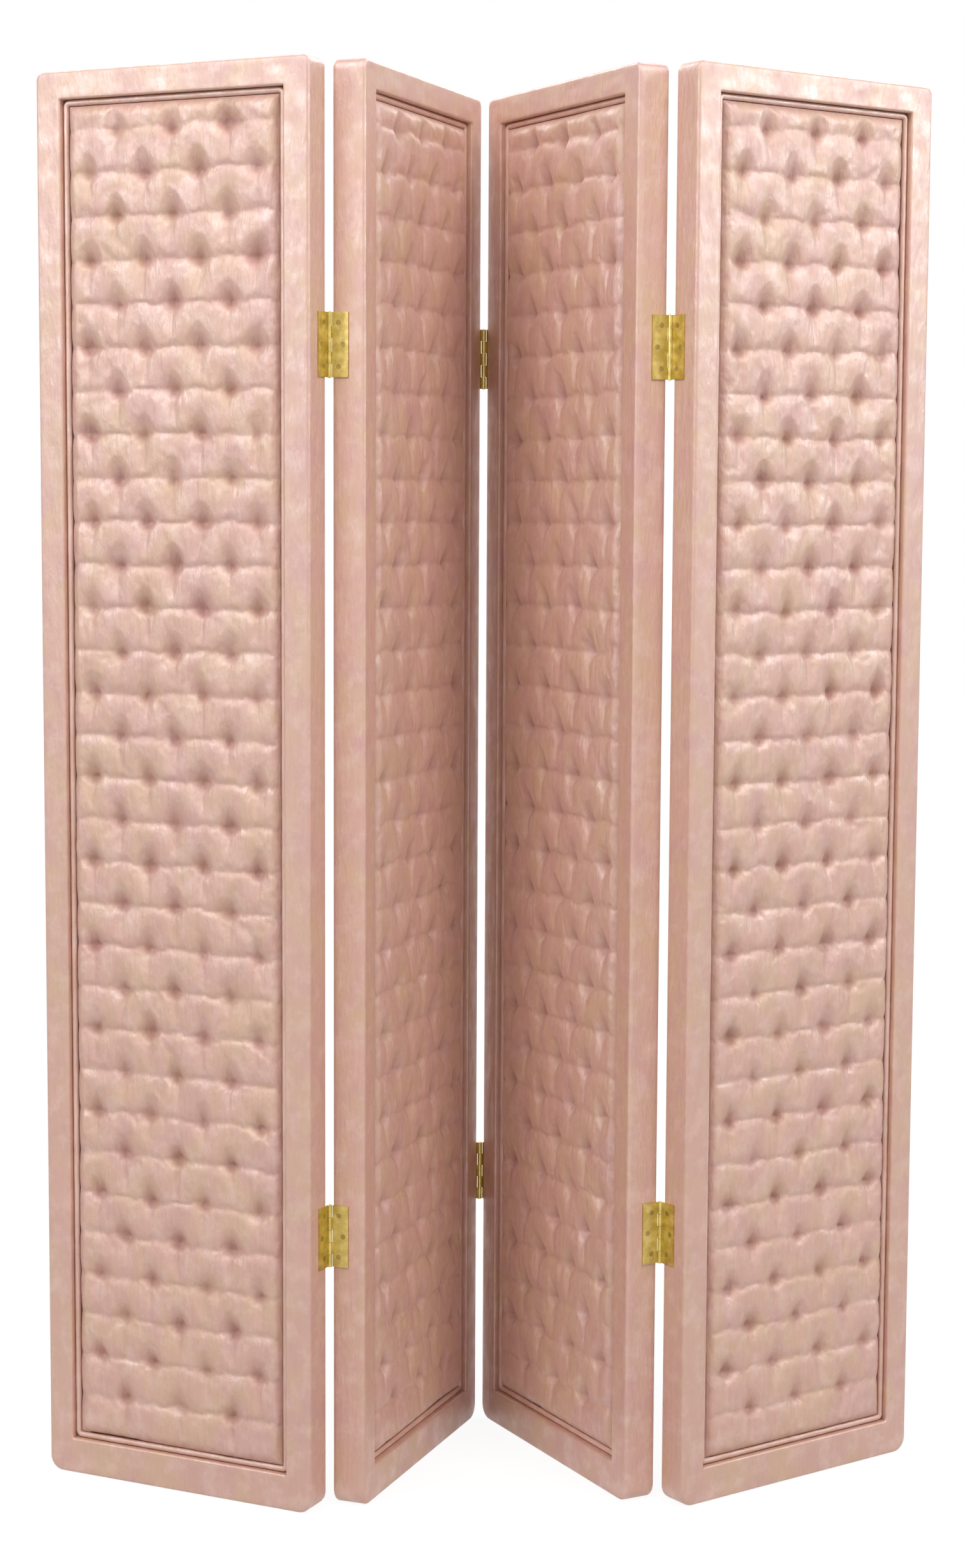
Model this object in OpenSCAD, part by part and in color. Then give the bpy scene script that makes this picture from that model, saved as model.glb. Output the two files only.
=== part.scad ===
// Upholstered folding screen: four padded panels in a zigzag, joined by brass butt hinges.
// A panel is drawn from its left front bottom corner, with X along it, Y towards its back
// and Z up. It is then turned and set down at its place on the floor.

/* [Panels] */
// Height of a panel
panel_h = 1829; // [1200:1:2100]
// Width of a panel
panel_w = 396; // [300:1:520]
// Thickness of a panel over its upholstery
panel_t = 44; // [43:0.5:60]
// Radius that the padding gives the edges
edge_r = 4; // [2:0.5:4.5]
// Radius of the top corners
top_corner_r = 9; // [6:0.5:20]
// Radius of the bottom corners
bottom_corner_r = 18; // [8:0.5:25]

/* [Standing pose] */
// Turn of the first panel from the length of the screen
first_turn = -29.7; // [-50:0.1:0]
// Angle between the backs of panels 1 and 2
fold_1_2 = 85.7; // [40:0.1:170]
// Angle between the fronts of panels 2 and 3
fold_2_3 = 49.1; // [30:0.1:170]
// Angle between the backs of panels 3 and 4
fold_3_4 = 82.3; // [40:0.1:170]

/* [Frame] */
// Front width of an upholstered stile
stile_w = 36; // [34:0.5:60]
// Front height of the upholstered top rail
top_rail_w = 35; // [32:0.5:80]
// Front height of the upholstered bottom rail
bottom_rail_w = 47; // [32:0.5:120]
// Thickness of the fabric and wadding round the wood
wrap_t = 3; // [2:0.25:4]
// Radius of the upholstered edges round the opening
opening_r = 2.5; // [1:0.25:2.75]
// Diameter of a dowel
dowel_d = 8; // [6:0.5:9]
// Length of a dowel
dowel_l = 44; // [30:1:48]
// Distance of a dowel from the nearer face of the panel
dowel_inset = 11; // [8.5:0.5:13]

/* [Backing board] */
// Thickness of the board
board_t = 5; // [3:0.5:6]
// Depth of the board's front below the front of the frame
board_drop = 20; // [18.5:0.5:21]
// How far the board reaches into the wood
groove_d = 6; // [3:0.5:8]

/* [Tufted pad] */
// Distance between the tufts of a row
tuft_pitch = 81; // [50:1:120]
// Distance between rows
row_pitch = 54.8; // [35:0.1:80]
// Depth of the tufts below the front of the frame
tuft_drop = 15; // [8:0.5:17]
// Depth of the puffs' crowns below the front of the frame
puff_drop = 1; // [0.5:0.5:4]
// Depth of the pad's rim below the front of the frame
rim_drop = 9.5; // [4:0.5:11]
// Drop from the top of the pad to its first row
first_row_drop = 32; // [20:1:60]
// Least distance from a tuft to the rim
tuft_margin = 25; // [15:1:40]
// Diameter of the welt cord
welt_d = 8; // [5:0.5:8.5]
// Depth of the welt's crown below the front of the frame
welt_drop = 6; // [3:0.25:7]

/* [Back pad] */
// Thickness of the back pad at its rim
back_rim_t = 7; // [4:0.5:9]
// Rise of the back pad from its rim to its flat middle
back_crown = 4; // [1:0.5:5]

/* [Hinges] */
// Height of a hinge
hinge_h = 80; // [50:5:120]
// Width of a leaf from the pin's axis to its free edge
leaf_w = 25; // [22:0.5:30]
// Thickness of a leaf
leaf_t = 2; // [1.5:0.1:2.2]
// Diameter of a knuckle
knuckle_d = 6; // [5:0.1:6]
// Diameter of a pin
pin_d = 3; // [2:0.1:3.4]
// Gap between the edges of two panels in line
hinge_gap = 6; // [6:0.5:10]
// Distance of the pin's axis from the face that it stands out of
pin_out = 3; // [3:0.25:6]
// Height of the lower hinge's middle above the floor
lower_hinge_z = 354; // [150:1:500]
// Distance of the upper hinge's middle below the top
upper_hinge_drop = 347; // [150:1:500]

/* [Hinge screws] */
// Diameter of a screw
screw_d = 3.5; // [2.5:0.1:4]
// Diameter of a screw's head
screw_head_d = 6.6; // [5:0.1:7]
// Length of a screw with its head
screw_l = 18; // [12:1:26]
// Distance between the screws of a leaf
screw_pitch = 27; // [15:1:40]
// Distance from the pin's axis to the outer screws
screw_line = 12; // [11:0.5:14]
// How far the middle screw stands further in
screw_stagger = 6; // [0:0.5:7]

/* [Clearances] */
// Between wood and what is wrapped or glued on it
wrap_gap = 0.2; // [0.1:0.05:0.3]
// Between soft pieces
soft_gap = 0.3; // [0.2:0.05:0.5]
// Between the welt and the rim of the pad
rim_gap = 0.6; // [0.5:0.05:0.9]
// Round the board in its groove
groove_gap = 0.1; // [0.05:0.05:0.3]
// Round a dowel, and at each of its ends
dowel_gap = 0.1; // [0.05:0.05:0.3]
// Round a hinge pin
pin_gap = 0.05; // [0.02:0.01:0.1]
// Between one knuckle and the next, and round a knuckle
knuckle_gap = 0.4; // [0.2:0.05:0.5]
// Round a screw
screw_gap = 0.1; // [0.05:0.05:0.3]

/* [Hidden] */
$fn = 48;
panels = 4;
knuckles = 5;
sliver = 1;
fabric_pink = [0.85, 0.69, 0.64];
welt_pink = [0.88, 0.73, 0.69];
back_pink = [0.80, 0.65, 0.60];
pine = [0.80, 0.66, 0.46];
plywood = [0.72, 0.58, 0.40];
beech = [0.86, 0.74, 0.55];
brass = [0.83, 0.70, 0.29];
bright_brass = [0.90, 0.78, 0.40];

// Standing pose: each panel's turn, its left front corner and the pins between panels
turns = [
    first_turn,
    first_turn + 180 - fold_1_2,
    first_turn - fold_1_2 + fold_2_3,
    first_turn + 180 - fold_1_2 + fold_2_3 - fold_3_4,
];
function along(i) = [cos(turns[i - 1]), sin(turns[i - 1])];
function across(i) = [-sin(turns[i - 1]), cos(turns[i - 1])];
half_gap = hinge_gap / 2;
back_pin_y = panel_t + pin_out;
pin_1_2 = [0, 0];
corner_1 = pin_1_2 - (panel_w + half_gap) * along(1) - back_pin_y * across(1);
corner_2 = pin_1_2 + half_gap * along(2) - back_pin_y * across(2);
pin_2_3 = corner_2 + (panel_w + half_gap) * along(2) - pin_out * across(2);
corner_3 = pin_2_3 + half_gap * along(3) + pin_out * across(3);
pin_3_4 = corner_3 + (panel_w + half_gap) * along(3) + back_pin_y * across(3);
corner_4 = pin_3_4 + half_gap * along(4) - back_pin_y * across(4);
corners = [corner_1, corner_2, corner_3, corner_4];

// Middle of the floor that the screen covers, which becomes the origin
edge_centres = [
    for (i = [1 : panels], x = [edge_r, panel_w - edge_r], y = [edge_r, panel_t - edge_r])
        corners[i - 1] + x * along(i) + y * across(i)
];
xs = [for (p = edge_centres) p.x];
ys = [for (p = edge_centres) p.y];
middle = [(min(xs) + max(xs)) / 2, (min(ys) + max(ys)) / 2];

// Wood inside the wrap
wood_inset = wrap_t;
wood_open_x = stile_w - wrap_t;
wood_open_low = bottom_rail_w - wrap_t;
wood_open_high = panel_h - top_rail_w + wrap_t;

// Rim of the tufted pad and its field
welt_x = stile_w + soft_gap + welt_d / 2;
welt_low = bottom_rail_w + soft_gap + welt_d / 2;
welt_high = panel_h - top_rail_w - soft_gap - welt_d / 2;
welt_bend = welt_d / 2 + 1;
rim_inset = soft_gap + welt_d + rim_gap;
rim_x = stile_w + rim_inset;
rim_low = bottom_rail_w + rim_inset;
rim_high = panel_h - top_rail_w - rim_inset;
ledge_y = welt_drop + welt_d + soft_gap;
pad_back_y = board_drop - soft_gap;
middle_x = panel_w / 2;
first_row_z = rim_high - first_row_drop;
rows = floor((first_row_z - rim_low - tuft_margin) / row_pitch) + 1;

// Grid of the tufted surface: quarter pitches across, half pitches down, and the rim
side_steps = floor((middle_x - rim_x - tuft_margin / 4) / (tuft_pitch / 4));
grid_x = [
    rim_x,
    for (k = [-side_steps : side_steps]) middle_x + k * tuft_pitch / 4,
    panel_w - rim_x,
];
grid_z = [
    rim_high,
    for (k = [0 : 2 * rows - 1]) first_row_z - k * row_pitch / 2,
    rim_low,
];

// Hinges
hinge_heights = [lower_hinge_z, panel_h - upper_hinge_drop];
knuckle_h = (hinge_h - (knuckles - 1) * knuckle_gap) / knuckles;
knuckle_step = knuckle_h + knuckle_gap;

// Placing

module at_panel(i) {
    translate([corners[i - 1].x - middle.x, corners[i - 1].y - middle.y, 0])
        rotate(turns[i - 1])
            children();
}

// Pins between odd and even panels stand at the back, the others at the front
function pin_at_back(joint) = joint % 2 == 1;

// Goes to the pin of a panel's left or right edge. From there +X points into the panel, +Y along
// its edge face, and the edge face lies at half the hinge gap.
module at_pin(i, right) {
    back = pin_at_back(right ? i : i - 1);
    translate([right ? panel_w + half_gap : -half_gap, back ? back_pin_y : -pin_out, 0])
        mirror([right ? 1 : 0, 0, 0])
            mirror([0, back ? 1 : 0, 0])
                children();
}

module at_screws(i, right, heights = hinge_heights) {
    for (h = heights, k = [-1 : 1])
        at_pin(i, right)
            translate([half_gap, screw_line + (k == 0 ? screw_stagger : 0), h + k * screw_pitch])
                rotate([0, 90, 0])
                    children();
}

module at_all_screws(i) {
    if (i > 1) at_screws(i, false) children();
    if (i < panels) at_screws(i, true) children();
}

// Outline of a panel seen from the front, drawn in by inset, with its four round corners
module front_outline(inset) {
    low_r = bottom_corner_r - inset;
    high_r = top_corner_r - inset;
    left = inset;
    right = panel_w - inset;
    top = panel_h - inset;
    difference() {
        translate([left, inset]) square([right - left, top - inset]);
        for (x = [left, right]) {
            corner_nib(x, inset, low_r, x == left, true);
            corner_nib(x, top, high_r, x == left, false);
        }
    }
}

// What a round corner leaves of its square
module corner_nib(x, y, r, at_left, at_bottom) {
    cx = at_left ? x + r : x - r;
    cy = at_bottom ? y + r : y - r;
    difference() {
        translate([at_left ? x - sliver : cx, at_bottom ? y - sliver : cy])
            square(r + sliver);
        translate([cx, cy]) circle(r);
    }
}

// Stands a front outline up and gives it depth from y0 to y1
module slab(y0, y1) {
    translate([0, y1, 0]) rotate([90, 0, 0]) linear_extrude(y1 - y0) children();
}

// Rounded rectangle that a bar's section needs
module soft_rectangle(w, h, r) {
    translate([r, 0]) square([w - 2 * r, h]);
    translate([0, r]) square([w, h - 2 * r]);
    for (x = [r, w - r], y = [r, h - r]) translate([x, y]) circle(r);
}

// Panel with its round corners and round edges
module padded_block() {
    intersection() {
        slab(0, panel_t) front_outline(0);
        linear_extrude(panel_h) soft_rectangle(panel_w, panel_t, edge_r);
        rotate([90, 0, 90]) linear_extrude(panel_w) soft_rectangle(panel_t, panel_h, edge_r);
    }
}

// Ring that the wooden frame fills, grown all round by grow
module wood_ring(grow) {
    difference() {
        slab(wood_inset - grow, panel_t - wood_inset + grow) front_outline(wood_inset - grow);
        translate([wood_open_x + grow, 0, wood_open_low + grow])
            cube([
                panel_w - 2 * (wood_open_x + grow), panel_t,
                wood_open_high - wood_open_low - 2 * grow
            ]);
    }
}

// Space of the board, grown all round by grow
module board_space(grow) {
    x = wood_open_x - groove_d + groove_gap - grow;
    low = wood_open_low - groove_d + groove_gap - grow;
    high = wood_open_high + groove_d - groove_gap + grow;
    translate([x, board_drop - grow, low]) cube([panel_w - 2 * x, board_t + 2 * grow, high - low]);
}

// Dowels across the four frame joints, grown all round by grow
module dowel_set(grow) {
    rail_middles = [
        (wood_inset + wood_open_low) / 2,
        (wood_open_high + panel_h - wood_inset) / 2
    ];
    for (x = [wood_open_x, panel_w - wood_open_x], y = [dowel_inset, panel_t - dowel_inset])
        for (z = rail_middles)
            translate([x - dowel_l / 2 - grow, y, z])
                rotate([0, 90, 0])
                    cylinder(d = dowel_d + 2 * grow, h = dowel_l + 2 * grow);
}

// Screw from the outer face of its leaf, with its axis along +Z and the edge face at zero
module screw(grow) {
    tip = screw_d;
    shank = screw_l - leaf_t - tip;
    translate([0, 0, -leaf_t])
        cylinder(d1 = screw_head_d + 2 * grow, d2 = screw_d + 2 * grow, h = leaf_t);
    cylinder(d = screw_d + 2 * grow, h = shank);
    translate([0, 0, shank])
        cylinder(d1 = screw_d + 2 * grow, d2 = screw_d / 4 + 2 * grow, h = tip + grow);
}

// Wooden frame

module frame_wood(i) {
    difference() {
        wood_ring(0);
        board_space(groove_gap);
        dowel_set(dowel_gap);
        at_all_screws(i) screw(screw_gap);
    }
}

module left_stile(i) {
    color(pine) intersection() {
        frame_wood(i);
        cube([wood_open_x, panel_t, panel_h]);
    }
}

module right_stile(i) {
    color(pine) intersection() {
        frame_wood(i);
        translate([panel_w - wood_open_x, 0, 0]) cube([wood_open_x, panel_t, panel_h]);
    }
}

module rail(low, high) {
    intersection() {
        difference() {
            wood_ring(0);
            board_space(groove_gap);
            dowel_set(dowel_gap);
        }
        translate([wood_open_x, 0, low]) cube([panel_w - 2 * wood_open_x, panel_t, high - low]);
    }
}

module top_rail() {
    color(pine) rail(wood_open_high, panel_h);
}

module bottom_rail() {
    color(pine) rail(0, wood_open_low);
}

module dowels() {
    color(beech) dowel_set(0);
}

module backing_board() {
    color(plywood) board_space(0);
}

// Upholstery

// Strip that rounds one long edge of the opening. It runs along +Z from the origin, with the
// edge's wood at -X and the open air at +X and -Y.
module edge_strip(length) {
    difference() {
        translate([-opening_r, -sliver, 0]) cube([opening_r + sliver, opening_r + sliver, length]);
        translate([-opening_r, opening_r, -sliver]) cylinder(r = opening_r, h = length + 2 * sliver);
    }
}

// Edge strips of the front of the opening
module opening_edges() {
    wide = panel_w - 2 * stile_w;
    high = panel_h - top_rail_w - bottom_rail_w;
    translate([stile_w, 0, bottom_rail_w]) {
        edge_strip(high);
        translate([wide, 0, 0]) mirror([1, 0, 0]) edge_strip(high);
        mirror([1, 0, -1]) edge_strip(wide);
        translate([0, 0, high]) mirror([0, 0, 1]) mirror([1, 0, -1]) edge_strip(wide);
    }
}

module frame_cover(i) {
    color(fabric_pink) difference() {
        padded_block();
        translate([stile_w, -sliver, bottom_rail_w])
            cube([
                panel_w - 2 * stile_w, panel_t + 2 * sliver,
                panel_h - top_rail_w - bottom_rail_w
            ]);
        opening_edges();
        translate([0, panel_t, 0]) mirror([0, 1, 0]) opening_edges();
        wood_ring(wrap_gap);
        board_space(soft_gap);
        at_all_screws(i) screw(screw_gap);
    }
}

module welt() {
    wide = panel_w - 2 * welt_x;
    high = welt_high - welt_low;
    color(welt_pink)
        translate([welt_x, welt_drop + welt_d / 2, welt_low])
            rotate([90, 0, 0]) {
                for (x = [0, wide])
                    translate([x, welt_bend, 0])
                        rotate([-90, 0, 0]) cylinder(d = welt_d, h = high - 2 * welt_bend);
                for (y = [0, high])
                    translate([welt_bend, y, 0])
                        rotate([0, 90, 0]) cylinder(d = welt_d, h = wide - 2 * welt_bend);
                for (x = [0, 1], y = [0, 1])
                    translate([x * wide, y * high, 0])
                        mirror([x, 0, 0]) mirror([0, y, 0])
                            translate([welt_bend, welt_bend, 0])
                                rotate(180)
                                    rotate_extrude(angle = 90) translate([welt_bend, 0]) circle(d = welt_d);
            }
}

// Height of a puff between tufts, from 0 at a tuft to 1 on a crown. Tufts stand at whole
// numbers of u and v, which run along the two diagonals of the pattern.
function puff(x, z) =
    let (
        s = (x - middle_x) / tuft_pitch,
        t = (first_row_z - z) / row_pitch,
        u = s + t / 2,
        v = t / 2 - s,
        diamond = sqrt(abs(sin(180 * u) * sin(180 * v))),
        channel = sqrt(abs(sin(180 * t))) * (1 - 0.35 * pow(cos(180 * s) * cos(180 * s), 4)),
        near_tuft = pow(sin(180 * u), 2) + pow(sin(180 * v), 2)
    )
    min(1, near_tuft) * (0.2 + 0.8 * (0.55 * diamond + 0.45 * channel));

function on_rim(i, j) = i == 0 || j == 0 || i == len(grid_x) - 1 || j == len(grid_z) - 1;

function surface_y(i, j) =
    on_rim(i, j)
        ? rim_drop
        : tuft_drop - (tuft_drop - puff_drop) * puff(grid_x[i], grid_z[j]);

// Foam and cover as one closed form: a tufted top with its rim drawn in beside the welt, a
// ledge under the welt and a flat back on the board
module tufted_pad() {
    nx = len(grid_x);
    nz = len(grid_z);
    top = [for (i = [0 : nx - 1], j = [0 : nz - 1]) [grid_x[i], surface_y(i, j), grid_z[j]]];
    base = len(top);
    x0 = stile_w + soft_gap;
    low = bottom_rail_w + soft_gap;
    high = panel_h - top_rail_w - soft_gap;
    inner = [[rim_x, rim_high], [rim_x, rim_low], [panel_w - rim_x, rim_low], [panel_w - rim_x, rim_high]];
    outer = [[x0, high], [x0, low], [panel_w - x0, low], [panel_w - x0, high]];
    rings = [
        for (p = inner) [p.x, ledge_y, p.y],
        for (p = outer) [p.x, ledge_y, p.y],
        for (p = outer) [p.x, pad_back_y, p.y],
    ];
    left_edge = [for (j = [0 : nz - 1]) j];
    low_edge = [for (i = [0 : nx - 1]) i * nz + nz - 1];
    right_edge = [for (j = [0 : nz - 1]) (nx - 1) * nz + nz - 1 - j];
    high_edge = [for (i = [0 : nx - 1]) (nx - 1 - i) * nz];
    edges = [left_edge, low_edge, right_edge, high_edge];
    faces = [
        // Tufted top, with each square split along the crease that runs to a tuft
        for (i = [0 : nx - 2], j = [0 : nz - 2])
            let (a = i * nz + j, b = a + nz, falls = (i + j + side_steps) % 2 == 0)
                each falls ? [[a, b, b + 1], [a, b + 1, a + 1]] : [[a, b, a + 1], [b, b + 1, a + 1]],
        // Wall from the rim down to the ledge
        for (e = [0 : 3]) each [
            for (k = [0 : len(edges[e]) - 2]) [base + (e + 1) % 4, edges[e][k], edges[e][k + 1]],
            [base + (e + 1) % 4, base + e, edges[e][0]],
        ],
        // Ledge, outer wall and back
        for (ring = [0 : 4 : 4], e = [0 : 3])
            let (a = base + ring + e, b = base + ring + (e + 1) % 4)
                each [[a, b, b + 4], [a, b + 4, a + 4]],
        [base + 8, base + 9, base + 10],
        [base + 8, base + 10, base + 11],
    ];
    color(fabric_pink) polyhedron(concat(top, rings), faces, convexity = 4);
}

module back_pad() {
    x = stile_w + soft_gap;
    low = bottom_rail_w + soft_gap;
    high = panel_h - top_rail_w - soft_gap;
    y = board_drop + board_t + soft_gap;
    slope = 3 * back_crown;
    color(back_pink) hull() {
        translate([x, y, low]) cube([panel_w - 2 * x, back_rim_t, high - low]);
        translate([x + slope, y, low + slope])
            cube([panel_w - 2 * (x + slope), back_rim_t + back_crown, high - low - 2 * slope]);
    }
}

// Hinges

// Leaf at its pin, as at_pin() sets it, with the knuckles from first on in steps of two
module leaf(i, right, height) {
    first = right ? 0 : 1;
    color(brass) difference() {
        at_pin(i, right) translate([0, 0, height - hinge_h / 2]) difference() {
            union() {
                difference() {
                    translate([half_gap - leaf_t, 0, 0]) cube([leaf_t, leaf_w, hinge_h]);
                    for (k = [1 - first : 2 : knuckles - 1])
                        translate([-sliver, -sliver, k * knuckle_step - knuckle_gap])
                            cube([
                                half_gap + 2 * sliver, knuckle_d / 2 + knuckle_gap + sliver,
                                knuckle_h + 2 * knuckle_gap
                            ]);
                }
                for (k = [first : 2 : knuckles - 1])
                    translate([0, 0, k * knuckle_step]) cylinder(d = knuckle_d, h = knuckle_h);
            }
            translate([0, 0, -sliver]) cylinder(d = pin_d + 2 * pin_gap, h = hinge_h + 2 * sliver);
        }
        at_screws(i, right, [height]) screw(screw_gap);
    }
}

module hinge_pins(i) {
    head_d = knuckle_d - 1;
    head_h = 1;
    color(bright_brass)
        for (h = hinge_heights)
            at_pin(i, true)
                translate([0, 0, h - hinge_h / 2]) {
                    cylinder(d = pin_d, h = hinge_h);
                    translate([0, 0, hinge_h]) cylinder(d1 = head_d, d2 = head_d / 2, h = head_h);
                    translate([0, 0, -head_h]) cylinder(d1 = head_d / 2, d2 = head_d, h = head_h);
                }
}

module hinge_screws(i) {
    color(bright_brass) at_all_screws(i) screw(0);
}

// Drawing

for (i = [1 : panels]) {
    at_panel(i) left_stile(i);
    at_panel(i) right_stile(i);
    at_panel(i) top_rail();
    at_panel(i) bottom_rail();
    at_panel(i) dowels();
    at_panel(i) backing_board();
    at_panel(i) frame_cover(i);
    at_panel(i) welt();
    at_panel(i) tufted_pad();
    at_panel(i) back_pad();
    at_panel(i) hinge_screws(i);
}
for (i = [1 : panels - 1]) {
    upper = hinge_heights[1];
    lower = hinge_heights[0];
    at_panel(i) leaf(i, true, upper);
    at_panel(i) leaf(i, true, lower);
    at_panel(i + 1) leaf(i + 1, false, upper);
    at_panel(i + 1) leaf(i + 1, false, lower);
    at_panel(i) hinge_pins(i);
}
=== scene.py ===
import math

import bmesh
import bpy
import numpy as np
from mathutils import Matrix, Vector


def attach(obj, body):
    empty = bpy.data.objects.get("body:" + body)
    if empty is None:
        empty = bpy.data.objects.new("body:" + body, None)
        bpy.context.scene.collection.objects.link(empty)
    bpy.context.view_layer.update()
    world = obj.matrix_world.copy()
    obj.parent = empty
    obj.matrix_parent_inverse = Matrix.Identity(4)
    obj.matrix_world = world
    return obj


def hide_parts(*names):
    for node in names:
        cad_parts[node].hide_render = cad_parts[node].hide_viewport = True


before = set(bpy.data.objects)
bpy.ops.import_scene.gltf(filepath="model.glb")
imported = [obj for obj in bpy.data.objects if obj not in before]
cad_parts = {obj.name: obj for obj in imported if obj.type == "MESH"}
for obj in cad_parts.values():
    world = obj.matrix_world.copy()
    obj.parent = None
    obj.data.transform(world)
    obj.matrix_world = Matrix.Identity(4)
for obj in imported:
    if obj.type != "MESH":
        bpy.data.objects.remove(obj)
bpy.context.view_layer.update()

MM = 0.001
PANELS = (1, 2, 3, 4)

# Camera, as the photo was taken: its place in metres, its turn in degrees and its lens
CAMERA_PLACE = (-0.28295, -3.69313, 1.2962)
CAMERA_YAW, CAMERA_DIP, CAMERA_ROLL = -4.293, 5.825, 0.283
SENSOR, LENS = 36.0, 64.77
CLIP_START, CLIP_END = 0.05, 60.0

# Floor in metres: half its width, and the reach from the middle in which it keeps its shadow
FLOOR_REACH = 14.0
FEET_REACH = 0.9

# How strongly the floor glows white, and how much of its look is that glow near the feet
FLOOR_GLOW, GLOW_AT_FEET = 1.03, 0.9

# Points that the lamps aim at, in metres: the screen's middle and its outer panels
MIDDLE = (0.0, 0.0, 0.9)
LEFT_PANEL, RIGHT_PANEL = (-0.4, 0.0, 1.4), (0.4, 0.0, 1.4)
LEFT_TOP, RIGHT_TOP = (-0.4, 0.0, 1.5), (0.4, 0.0, 1.5)

# The pieces' sizes are in millimetres on a panel's axes: X along, Y back from the front, Z up

# Rows of tufts: their pitch, and how far a row reaches from its middle in pitches
TUFT_PITCH, ROW_PITCH = 81.0, 54.8
FIRST_ROW_BELOW_RIM = 32.0
ROWS = 31
EVEN_REACH, ODD_REACH = 1, 1.5
ARCH = 2.0

# Depths of the pad's cover behind the frame's face
CROWN_DEPTH, TUFT_DEPTH = 2.0, 15.0
LEAST_DEPTH, SOFT_LIMIT, DEEPEST = 0.5, 0.5, 17.5
CHANNEL_DEPTH, CHANNEL_FLANK, CHANNEL_ROUND = 2.3, 2.2, 0.75
FALL_DEPTH, FALL_W, FALL_LOSS = 1.0, 9.0, 0.75
RIM_DEPTH, RIM_ROLL, RIM_INSET = 9.5, 15.0, 8.6
SOFT_GAP = 0.3

# How fast a crease fades above it and below it, and how the pulls of two tufts add up
FADE_ABOVE, FADE_BELOW = 0.9, 1.1
PULL_OVERLAP, MOST_PULL = 0.3, 1.05

# Depths between which the cloth takes on the painted shade of the folds and grows duller
FOLD_FROM, FOLD_TO = 3.0, 13.0

# Wedges at a tuft: width aside, height, height of the steep core, and the share that isn't core
ABOVE_WEDGE = (20.0, 30.0, 10.0, 0.75)
BELOW_WEDGE = (18.0, 12.0, 5.0, 0.4)
CORE_W = 7.0
WEDGE_POWER = 1.25

# Rounding of a wedge's middle: what is added to its square, and taken off its root
EASE_SQUARE, EASE_BACK = 6.0, 2.4

# Upright folds at a tuft: depth, width and height
FALLING_FOLD = (3.0, 2.6, 34.0)
RISING_FOLD = (1.8, 2.4, 13.0)

# Small wrinkles, which come in patches, sway aside and fade out near a crease and near the rim
WRINKLE_DEPTH, WRINKLE_W, WRINKLE_H = 0.40, 3.9, 25.0
SWAY, SWAY_H = 0.6, 31.0
CALM_H, FINE_FROM_RIM = 6.0, 5.0
PATCH_MIDDLE, PATCH_SPREAD, PATCH_MOST = 0.5, 0.8, 1.5

# Handwork: how far tufts stray, and how much their pull, the channels and the crowns vary
STRAY_X, STRAY_Z = 1.8, 1.5
PULL_SPREAD, CHANNEL_SPREAD, CROWN_SPREAD = 0.16, 0.12, 0.6

# Random fields of the pad: values down and across, and the size of one step between them. Rows,
# pitches and steps aside are counted on by the last three, so that they begin inside a field.
STRAY_GRID, STRAY_W, STRAY_H = (60, 14), 26.0, 30.0
PULL_GRID, PULL_MIDDLE = (ROWS + 4, 16), 7
CHANNEL_GRID, CHANNEL_W = (40, 10), 40.0
CROWN_GRID = (36, 10)
WRINKLE_GRID = (72, 92)
PATCH_GRID, PATCH_SIZE = (62, 14), 30.0
T_ON, S_ON, X_ON = 2, 4, 2

# Cloth simulation: grid steps before and after it, its length, and the movement that is kept
CLOTH_STEP, PAD_STEP = 4.0, 2.4
CLOTH_FRAMES = 12
CLOTH_SHARE = 0.5
MOST_MOVE = 7.0
CREASE_HOLD, HOLD_R, LEAST_HOLD = 0.22, 4.0, 0.01
CLOTH = {
    "quality": 5, "mass": 0.3, "air_damping": 2,
    "tension_stiffness": 15, "compression_stiffness": 15, "shear_stiffness": 5,
    "tension_damping": 5, "compression_damping": 5, "shear_damping": 5,
    "bending_stiffness": 1.0, "bending_damping": 0.5, "shrink_min": -0.03,
    "use_pressure": True, "uniform_pressure_force": 0.6, "vertex_group_mass": "held",
}

# Frame cover: widths of its sides, rounds of its edges and corners, steps round the frame, and how
# far from a corner the width of one side passes into that of the next
STILE_W, TOP_RAIL_W, BOTTOM_RAIL_W = 36.0, 35.0, 47.0
EDGE_R, OPENING_R = 4.0, 2.5
TOP_CORNER_R, BOTTOM_CORNER_R = 9.0, 18.0
COVER_STEP, CORNER_BLEND = 5.0, 40.0

# Wadding under the cover: length of its bumps, their height, how far it lies back, the most that it
# may swell, bumps across a side, and the shares of a side over which they begin and end
WADDING_STEP, WADDING_RISE, WADDING_DROP, WADDING_MOST = 34.0, 0.28, 0.1, 0.4
WADDING_ACROSS, WADDING_START, WADDING_END = 3, (0.06, 0.3), (0.75, 0.96)

# Points of the cover's section: round an edge, across a face, down the opening and down outside
ARC_POINTS, FACE_POINTS, OPENING_POINTS, OUTSIDE_POINTS = 6, 9, 12, 10

# Welt: steps along it and points round it, how far it lies inside the solid's surface, how uneven
# it is, over how many steps and within what limits, and how widely its corners bend
WELT_STEP, WELT_SIDES = 4.0, 14
WELT_UNDER, WELT_UNEVEN = 0.12, 0.10
WELT_RUN, WELT_LEAST, WELT_MOST = 3, -2, 1.2
WELT_BEND, WELT_BEND_POINTS = 1.0, 7

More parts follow.
